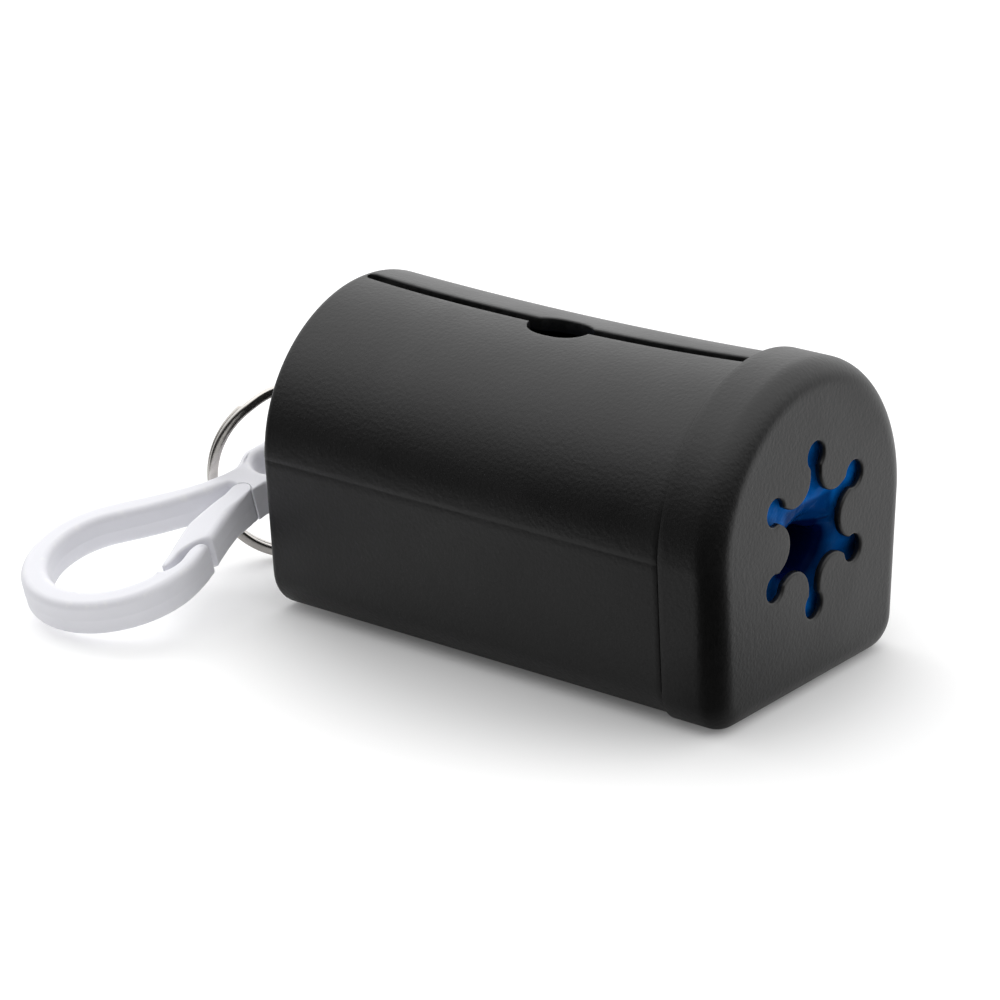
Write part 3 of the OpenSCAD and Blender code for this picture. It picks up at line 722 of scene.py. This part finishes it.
# %% Outlines of the loop's opening and of the gate
eye_turn = np.radians(np.linspace(0, 80, 7))
eye_u = np.linspace(24.1, EYE_FAR_U, 30)
eye_start = np.stack([21.6 + 2.4 * (1 - np.cos(eye_turn)), 3.1 * np.sin(eye_turn)], 1)
eye_side = np.stack([eye_u, half_width(eye_u) - 2.2], 1)
eye_corner = arc((EYE_FAR_U, 3.3), 2.0, 80, 0, 6, SOFT)[:, :2]
eye_half = np.concatenate([eye_start, eye_side, eye_corner])
eye_line = smoothed(with_round(np.concatenate([eye_half, eye_half[:0:-1] * [1, -1]]), SOFT))
limb_u = np.linspace(8.9, 16.9, 16)
gate_line = smoothed(np.concatenate([
    with_round([[1.5, -8.35]], 0.15),
    with_round([[2.7, -8.1], [3.9, -7.5], [5, -7.0], [6.4, -6.85], [7.9, -7.05]], 0.35),
    hook_side(limb_u[:12], -1, SOFT), hook_side(limb_u[12:], -1, 0.5),
    arc(ROOT, ROOT_R, -78, -60, 4, 0.25), arc(ROOT, ROOT_R, -54, 60, 15, 0.02),
    arc(ROOT, ROOT_R, 70, 118, 6, 0.5),
    with_round([[15.6, -0.85], [14.8, -0.95], [13.1, -1.3], [11.4, -1.8], [10, -2.2]], 0.75),
    with_round([[8.6, -2.75], [7.5, -3.4], [6.5, -4.1], [5.3, -4.9], [4.2, -5.7]], 0.75),
    with_round([[2.7, -6.8]], 0.5), with_round([[1.55, -7.7]], 0.2)]))
print("outline points:", len(eye_line), "round the opening,", len(gate_line), "round the gate")

# %% Raising an outline
RIDGE, RIDGE_HALF, RIDGE_TOP, FACE_STEP = 0.035, 0.14, 0.03, 0.12


def smooth_round(soft, reach):
    """Running mean of the rounding along a closed outline."""
    k = np.ones(2 * reach + 1) / (2 * reach + 1)
    return np.convolve(np.concatenate([soft[-reach:], soft, soft[:reach]]), k, "valid")


def raise_outline(line, outwards):
    """Rows of the outline from the lower face to the upper.

    With T the half thickness and s the rounding, a row lies at height +-(T - s (1 - sin a))
    and is moved in by s (1 - cos a). At mid height the rows stand out as a faint ridge.
    """
    soft = smooth_round(line[:, 2], 3)
    t = np.roll(line[:, :2], -1, 0) - np.roll(line[:, :2], 1, 0)
    t /= np.linalg.norm(t, axis=1, keepdims=True)
    inward = np.stack([-t[:, 1], t[:, 0]], 1) * (1 if outwards else -1)
    a = np.radians([0, 12, 25, 40, 55, 70, 90])
    upper = [(HOOK_HALF_T - soft * (1 - math.sin(v)), RIDGE + soft * (1 - math.cos(v))) for v in a]
    upper.append((np.full_like(soft, HOOK_HALF_T), RIDGE + soft + FACE_STEP))
    ridge = ((-RIDGE_HALF, RIDGE), (-RIDGE_TOP, 0), (RIDGE_TOP, 0), (RIDGE_HALF, RIDGE))
    rows = [(-h, d) for h, d in upper[::-1]] + [(np.full_like(soft, h), d) for h, d in ridge] + upper
    uv = np.stack([line[:, :2] + inward * np.reshape(d, (-1, 1)) for h, d in rows])
    high = np.stack([h for h, d in rows])
    plane = np.concatenate([uv, high[..., None]], -1)
    shade = np.array([0, .5, 1, 1, 1, .7, .3, 0] + [0] * 4 + [0, .3, .7, 1, 1, 1, .5, 0])
    return HOOK_C + plane @ HOOK_AXES.T, np.broadcast_to(shade[:, None], high.shape), plane


# %% Frame and gate
def moulded(name, lines, body, node):
    """Walls of all outlines and the two flat faces between them."""
    points, edges, faces, flat, start = [], [], [], [], 0
    low, high = [], []
    for line, outwards in lines:
        area = np.sum(line[:, 0] * np.roll(line[:, 1], -1) - np.roll(line[:, 0], -1) * line[:, 1])
        p, shade, plane = raise_outline(line, outwards == (area > 0))
        rows, cols = shade.shape
        faces += quads(rows, cols, start, close_cols=True)
        low.append(start + np.arange(cols))
        high.append(start + (rows - 1) * cols + np.arange(cols))
        points.append(p.reshape(-1, 3))
        flat.append(plane.reshape(-1, 3))
        edges.append(shade.ravel())
        start += rows * cols
    flat = np.concatenate(flat)
    faces += plate(flat, low) + plate(flat, high)
    piece(name, np.concatenate(points), faces, np.concatenate(edges), body, node, "white_plastic")


moulded("hook_moulding", [(frame_line, True), (eye_line, False)], "hook", "hook_frame")
moulded("gate_tongue", [(gate_line, True)], "gate", "hook_gate")

# %% [markdown]
# ## Effects that several finishes share
# Small node groups work out masks and heights over the surface, and each material uses them
# with its own values: a moulded grain, wear that follows the "edge" number on the points,
# and the faint marks that hands leave. Pictures wrapped round the parts could show the same,
# but noise worked out at each place has no seams. The shaders stay in the materials.

# %% Small helpers for node trees
def socket_group(name, inputs, outputs):
    """A new shader node group with float or vector inputs and float outputs."""
    tree = bpy.data.node_groups.new(name, "ShaderNodeTree")
    for label, kind, value in inputs:
        made = tree.interface.new_socket(name=label, in_out="INPUT", socket_type=kind)
        if kind == "NodeSocketFloat":
            made.default_value = value
    for label in outputs:
        tree.interface.new_socket(name=label, in_out="OUTPUT", socket_type="NodeSocketFloat")
    return tree, tree.nodes.new("NodeGroupInput").outputs, tree.nodes.new("NodeGroupOutput").inputs


def put(tree, kind, inputs=None, **settings):
    """Adds a node, sets its fields, and gives each named or numbered input a value or a link."""
    node = tree.nodes.new(kind)
    for key, value in settings.items():
        setattr(node, key, value)
    for key, value in (inputs or {}).items():
        if isinstance(value, bpy.types.NodeSocket):
            tree.links.new(value, node.inputs[key])
        else:
            node.inputs[key].default_value = value
    return node


def calc(tree, operation, a, b=0.0, clamp=False):
    """One Math node."""
    return put(tree, "ShaderNodeMath", {0: a, 1: b}, operation=operation, use_clamp=clamp).outputs[0]


def noise(tree, place, scale, detail, rough, warp=0.0):
    """The value of one Noise Texture node."""
    fields = {"Vector": place, "Scale": scale, "Detail": detail, "Roughness": rough, "Distortion": warp}
    return put(tree, "ShaderNodeTexNoise", fields).outputs["Fac"]


def cells(tree, place, scale, feature="F1"):
    """The distance that one cell texture gives, to the middle of a cell or to its edge."""
    fields = {"Vector": place, "Scale": scale}
    return put(tree, "ShaderNodeTexVoronoi", fields, feature=feature).outputs["Distance"]


def ranged(tree, value, low, high, least, most, **settings):
    """One Map Range node: low to high becomes least to most."""
    fields = {"Value": value, "From Min": low, "From Max": high, "To Min": least, "To Max": most}
    return put(tree, "ShaderNodeMapRange", fields, **settings).outputs["Result"]


def blend(tree, factor, a, b, kind="RGBA"):
    """One Mix node, for colours or for plain numbers."""
    return put(tree, "ShaderNodeMix", {"Factor": factor, "A": a, "B": b}, data_type=kind).outputs["Result"]


# %% Grain, wear and handling marks
VEC, NUM = "NodeSocketVector", "NodeSocketFloat"
grain, at, to = socket_group("moulded_grain", [("Place", VEC, 0), ("Size", NUM, 2600.0), ("Pores", NUM, 0.3)],
                             ["Height"])
fine = noise(grain, at["Place"], at["Size"], 3.0, 0.6)
pits = cells(grain, at["Place"], calc(grain, "MULTIPLY", at["Size"], 0.8))
pores = calc(grain, "MULTIPLY", pits, at["Pores"])
grain.links.new(calc(grain, "ADD", fine, pores), to["Height"])

wear, at, to = socket_group("edge_wear", [("Place", VEC, 0), ("Edge", NUM, 0.0), ("Size", NUM, 900.0),
                                          ("Amount", NUM, 0.4)], ["Mask"])
rubbed = noise(wear, at["Place"], at["Size"], 4.0, 0.65)
level = calc(wear, "SUBTRACT", calc(wear, "ADD", rubbed, at["Amount"]), 0.78)
sharp = calc(wear, "MULTIPLY", level, 5.0, clamp=True)
wear.links.new(calc(wear, "MULTIPLY", sharp, at["Edge"], clamp=True), to["Mask"])

marks, at, to = socket_group("handling_marks", [("Place", VEC, 0), ("Size", NUM, 60.0)], ["Smudge", "Speck"])
cloud = noise(marks, at["Place"], at["Size"], 5.0, 0.6, 0.4)
dots = cells(marks, at["Place"], calc(marks, "MULTIPLY", at["Size"], 9.0))
marks.links.new(cloud, to["Smudge"])
marks.links.new(calc(marks, "LESS_THAN", dots, 0.045), to["Speck"])
print("groups:", [g.name for g in bpy.data.node_groups])

# %% [markdown]
# ## Finishes
# Black parts: satin moulded plastic, nearly black, whose look is almost all soft reflection,
# with a leathery grain and slightly paler rubbed edges. Hook: white acetal with a cool cast,
# smooth and a little waxy. Film: thin blue polythene with crinkles, darker where it lies in
# shade and with little gloss, because the cap shields it from the sky. Ring: nickel plate
# with drawing lines along the wire, which follow the ring's own coordinates.

# %% Helpers for finishes
def start_finish(name):
    """A new material with its node tree, its shader, the place on the object and the number "edge"."""
    mat = bpy.data.materials.new(name)
    mat.use_nodes = True
    tree = mat.node_tree
    place = put(tree, "ShaderNodeTexCoord").outputs["Object"]
    edge = put(tree, "ShaderNodeAttribute", attribute_name="edge").outputs["Fac"]
    return mat, tree, tree.nodes["Principled BSDF"], place, edge


def effect(tree, group, fields):
    """One of the shared effects, with its own values."""
    return put(tree, "ShaderNodeGroup", fields, node_tree=group).outputs


def add_bump(tree, shader, height, strength, distance):
    """Turns a height over the surface into the shader's normal."""
    bumped = put(tree, "ShaderNodeBump", {"Height": height, "Strength": strength, "Distance": distance})
    tree.links.new(bumped.outputs["Normal"], shader.inputs["Normal"])


# %% Moulded plastics
def plastic(name, colour, worn, rough, specular, grain_size, pores, bump, wear_amount, mark_size):
    """A plastic: colour with rubbed edges, roughness between two values, and a grain as bump."""
    mat, tree, shader, place, edge = start_finish(name)
    height = effect(tree, grain, {"Place": place, "Size": grain_size, "Pores": pores})["Height"]
    mask = effect(tree, wear, {"Place": place, "Edge": edge, "Amount": wear_amount})["Mask"]
    marked = effect(tree, marks, {"Place": place, "Size": mark_size})
    tint = blend(tree, marked["Smudge"], (*colour[0], 1), (*colour[1], 1))
    tree.links.new(blend(tree, mask, tint, (*worn, 1)), shader.inputs["Base Color"])
    base = ranged(tree, marked["Smudge"], 0.3, 0.7, *rough)
    tree.links.new(calc(tree, "ADD", base, calc(tree, "MULTIPLY", mask, 0.08)), shader.inputs["Roughness"])
    shader.inputs["Specular IOR Level"].default_value = specular
    relief = calc(tree, "ADD", height, calc(tree, "MULTIPLY", marked["Speck"], 0.25))
    add_bump(tree, shader, relief, bump, 0.00006)
    return mat


black = plastic("satin_black_plastic", colour=[(0.0024, 0.0024, 0.0026), (0.0046, 0.0045, 0.0044)],
                worn=(0.01, 0.01, 0.01), rough=(0.35, 0.44), specular=0.47, grain_size=2300.0, pores=0.5,
                bump=0.5, wear_amount=0.34, mark_size=70.0)
white = plastic("white_acetal", colour=[(0.80, 0.80, 0.85), (0.86, 0.86, 0.90)],
                worn=(0.88, 0.88, 0.9), rough=(0.34, 0.44), specular=0.45, grain_size=3200.0, pores=0.15,
                bump=0.10, wear_amount=0.25, mark_size=110.0)
print("finishes:", black.name, white.name)

# %% Blue film
film, tree, shader, place, deep = start_finish("blue_bag_film")
height = effect(tree, grain, {"Place": place, "Size": 900.0})["Height"]
wisps = noise(tree, place, 260.0, 6.0, 0.55, 1.2)
line = calc(tree, "MULTIPLY", cells(tree, place, 330.0, "DISTANCE_TO_EDGE"), 3.0, clamp=True)
tint = blend(tree, wisps, (0.001, 0.04, 0.21, 1), (0.003, 0.16, 0.56, 1))
# Painted shade: the colour is blended towards dark navy as far as the number "edge" marks the film as lying
# in shade.
tree.links.new(blend(tree, deep, tint, (0.0004, 0.004, 0.04, 1)), shader.inputs["Base Color"])
shader.inputs["Specular IOR Level"].default_value = 0.02
shader.inputs["Specular Tint"].default_value = (0.2, 0.6, 1, 1)
tree.links.new(ranged(tree, wisps, 0.3, 0.7, 0.16, 0.34), shader.inputs["Roughness"])
relief = calc(tree, "ADD", calc(tree, "MULTIPLY", line, 0.7), calc(tree, "MULTIPLY", height, 0.25))
add_bump(tree, shader, relief, 0.5, 0.00015)
print("finish:", film.name)

# %% Nickel
nickel, tree, shader, place, edge = start_finish("nickel_plate")
run = put(tree, "ShaderNodeUVMap", uv_map="run").outputs["UV"]
drawn = put(tree, "ShaderNodeMapping", {"Vector": run, "Scale": (0.5, 9.0, 1.0)}).outputs["Vector"]
lines = noise(tree, drawn, 3.0, 4.0, 0.6)
mask = effect(tree, wear, {"Place": place, "Edge": edge})["Mask"]
smudge = effect(tree, marks, {"Place": place, "Size": 160.0})["Smudge"]
tint = blend(tree, smudge, (0.52, 0.49, 0.46, 1), (0.66, 0.64, 0.61, 1))
tree.links.new(blend(tree, mask, tint, (0.4, 0.36, 0.33, 1)), shader.inputs["Base Color"])
shader.inputs["Metallic"].default_value = 1.0
tree.links.new(ranged(tree, lines, 0.3, 0.7, 0.12, 0.26), shader.inputs["Roughness"])
add_bump(tree, shader, lines, 0.15, 0.00003)
print("finish:", nickel.name)

# %% Every piece gets its finish
finishes = {"black_plastic": black, "white_plastic": white, "blue_film": film, "nickel": nickel}
for made, slot in made_pieces:
    made.data.materials.append(finishes[slot])
print("dressed:", [(made.name, slot) for made, slot in made_pieces])

# %% [markdown]
# ## Floor and light
# A photo studio has a white sweep, soft lamps and a dark room in front of them. The floor is
# pale, and away from the object it gives off a little light of its own, to the camera and to
# matt surfaces, which lifts it to white while the shadow stays; close to the object the glow
# drops to about a quarter, which paints shade around it. Gloss sees the floor in other tones,
# a painted reflection: dark at the front, before the cap's corner and a little far behind,
# standing in for the dark room. Black plastic is nearly all gloss, so this painted reflection
# draws its dark bands.

# %% Floor
FLOOR_HALF, FLOOR_TONE, FLOOR_GLOW = 3, 0.78, 0.33
BACKWARD, LEFTWARD = (0.3, 0.95, 0), (-0.64, 0.77, 0)
# Each spot of painted dark reflection has its middle and the two distances from it between which it fades, in
# metres.
PAINTED_REFLECTION_SPOTS = (((0.045, -0.036, 0), 0.018, 0.03), ((0.072, -0.018, 0), 0.026, 0.037))
corners = [(FLOOR_HALF * i, FLOOR_HALF * j, 0) for i, j in ((-1, -1), (1, -1), (1, 1), (-1, 1))]
floor_mesh = bpy.data.meshes.new("floor")
floor_mesh.from_pydata(corners, [], [(0, 1, 2, 3)])
floor = bpy.data.objects.new("floor", floor_mesh)
bpy.context.scene.collection.objects.link(floor)
paper = bpy.data.materials.new("white_sweep")
paper.use_nodes = True
tree = paper.node_tree
tree.nodes.remove(tree.nodes["Principled BSDF"])
floor_mesh.materials.append(paper)
print("floor:", 2 * FLOOR_HALF, "m wide")

# %% What gloss sees of the floor
def measure(tree, operation, place, other):
    """One Vector Math node: how far a place lies along a direction, or from a point."""
    return put(tree, "ShaderNodeVectorMath", {0: place, 1: other}, operation=operation).outputs["Value"]


def step_up(tree, value, low, high, least, most=1.0):
    """A smooth step of a value between two bounds."""
    return ranged(tree, value, low, high, least, most, interpolation_type="SMOOTHSTEP")


path = put(tree, "ShaderNodeLightPath").outputs
spot = put(tree, "ShaderNodeTexCoord").outputs["Object"]
behind = measure(tree, "DOT_PRODUCT", spot, BACKWARD)
aside = measure(tree, "DOT_PRODUCT", spot, LEFTWARD)
# Each step is the share of the floor's light that gloss sees there, and they are multiplied.
# Together they paint a dark reflection that only gloss sees.
shares = [step_up(tree, behind, -0.125, -0.05, 0.2), step_up(tree, behind, -0.02, 0.025, 0.62, 0.92),
          step_up(tree, aside, -0.06, -0.038, 0.06)]
for centre, inner, outer in PAINTED_REFLECTION_SPOTS:
    shares.append(step_up(tree, measure(tree, "DISTANCE", spot, centre), inner, outer, 0.08))
shares.append(step_up(tree, behind, 0.12, 0.5, 1.0, 0.55))
gloss_share = shares[0]
for share in shares[1:]:
    gloss_share = calc(tree, "MULTIPLY", gloss_share, share)
print("floor tones for gloss:", len(shares), "steps")

# %% The floor's shader
seen = calc(tree, "ADD", path["Is Camera Ray"], path["Is Transmission Ray"])
seen = calc(tree, "ADD", seen, path["Is Diffuse Ray"])
seen = calc(tree, "ADD", seen, calc(tree, "MULTIPLY", path["Is Glossy Ray"], gloss_share), clamp=True)
tone = calc(tree, "MULTIPLY", blend(tree, path["Is Glossy Ray"], 1.0, gloss_share, kind="FLOAT"), FLOOR_TONE)
grey = put(tree, "ShaderNodeCombineColor", {0: tone, 1: tone, 2: tone}).outputs[0]
apart = put(tree, "ShaderNodeVectorMath", {0: spot}, operation="LENGTH").outputs["Value"]
matt = put(tree, "ShaderNodeBsdfDiffuse", {"Color": grey})
# Painted shade: near the middle of the case the glow falls to about a quarter, so the floor around the object
# stays darker than the lamps alone leave it.
power = calc(tree, "MULTIPLY", seen, step_up(tree, apart, 0.024, 0.052, 0.08, FLOOR_GLOW))
glow = put(tree, "ShaderNodeEmission", {"Strength": power})
both = put(tree, "ShaderNodeAddShader", {0: matt.outputs[0], 1: glow.outputs[0]})
tree.links.new(both.outputs[0], tree.nodes["Material Output"].inputs["Surface"])
print("floor material:", paper.name)

# %% [markdown]
# ## Sky and lamps
# The sky is a smooth slope of light, brightest above and behind and dark in front. Gloss
# sees it a little brighter, which draws the pale sheen along the crown, and the camera sees
# it plain white. A large soft lamp behind on the left throws the shadow to the front right,
# and a second one on the left fills the hook and the floor there. Both are hidden from
# gloss, so that neither leaves a spot on the black plastic.

# %% World
SKY_UP, SKY_LOW, SKY_HIGH, GLOSS_EXTRA = (-0.1, 0.42, 0.9), 0.03, 1.24, 0.36
world = bpy.data.worlds.new("studio")
bpy.context.scene.world = world
world.use_nodes = True
tree = world.node_tree
path = put(tree, "ShaderNodeLightPath").outputs
toward = measure(tree, "DOT_PRODUCT", put(tree, "ShaderNodeTexCoord").outputs["Generated"], SKY_UP)
sky = step_up(tree, toward, -0.2, 0.8, SKY_LOW, SKY_HIGH)
gloss_sky = calc(tree, "ADD", calc(tree, "MULTIPLY", path["Is Glossy Ray"], GLOSS_EXTRA), 1.0)
level = blend(tree, path["Is Camera Ray"], calc(tree, "MULTIPLY", sky, gloss_sky), 1.0, kind="FLOAT")
tree.nodes["Background"].inputs["Color"].default_value = (1, 1, 1, 1)
tree.links.new(level, tree.nodes["Background"].inputs["Strength"])
print("world:", world.name)


# %% Lamps
def lamp(name, where, target, size, power):
    """A soft square lamp that looks at a point and that gloss doesn't see."""
    data = bpy.data.lights.new(name, "AREA")
    data.size, data.energy = size, power
    made = bpy.data.objects.new(name, data)
    made.location = where
    made.rotation_euler = (Vector(target) - Vector(where)).to_track_quat("-Z", "Y").to_euler()
    made.visible_glossy = False
    bpy.context.scene.collection.objects.link(made)


lamp("key_behind_left", (-0.28, 0.36, 0.5), (0, 0, 0.02), 0.5, 0.85)
lamp("fill_left", (-0.55, 0.06, 0.4), (-0.04, -0.02, 0.005), 0.35, 0.6)
bpy.context.scene.view_settings.view_transform = "Standard"
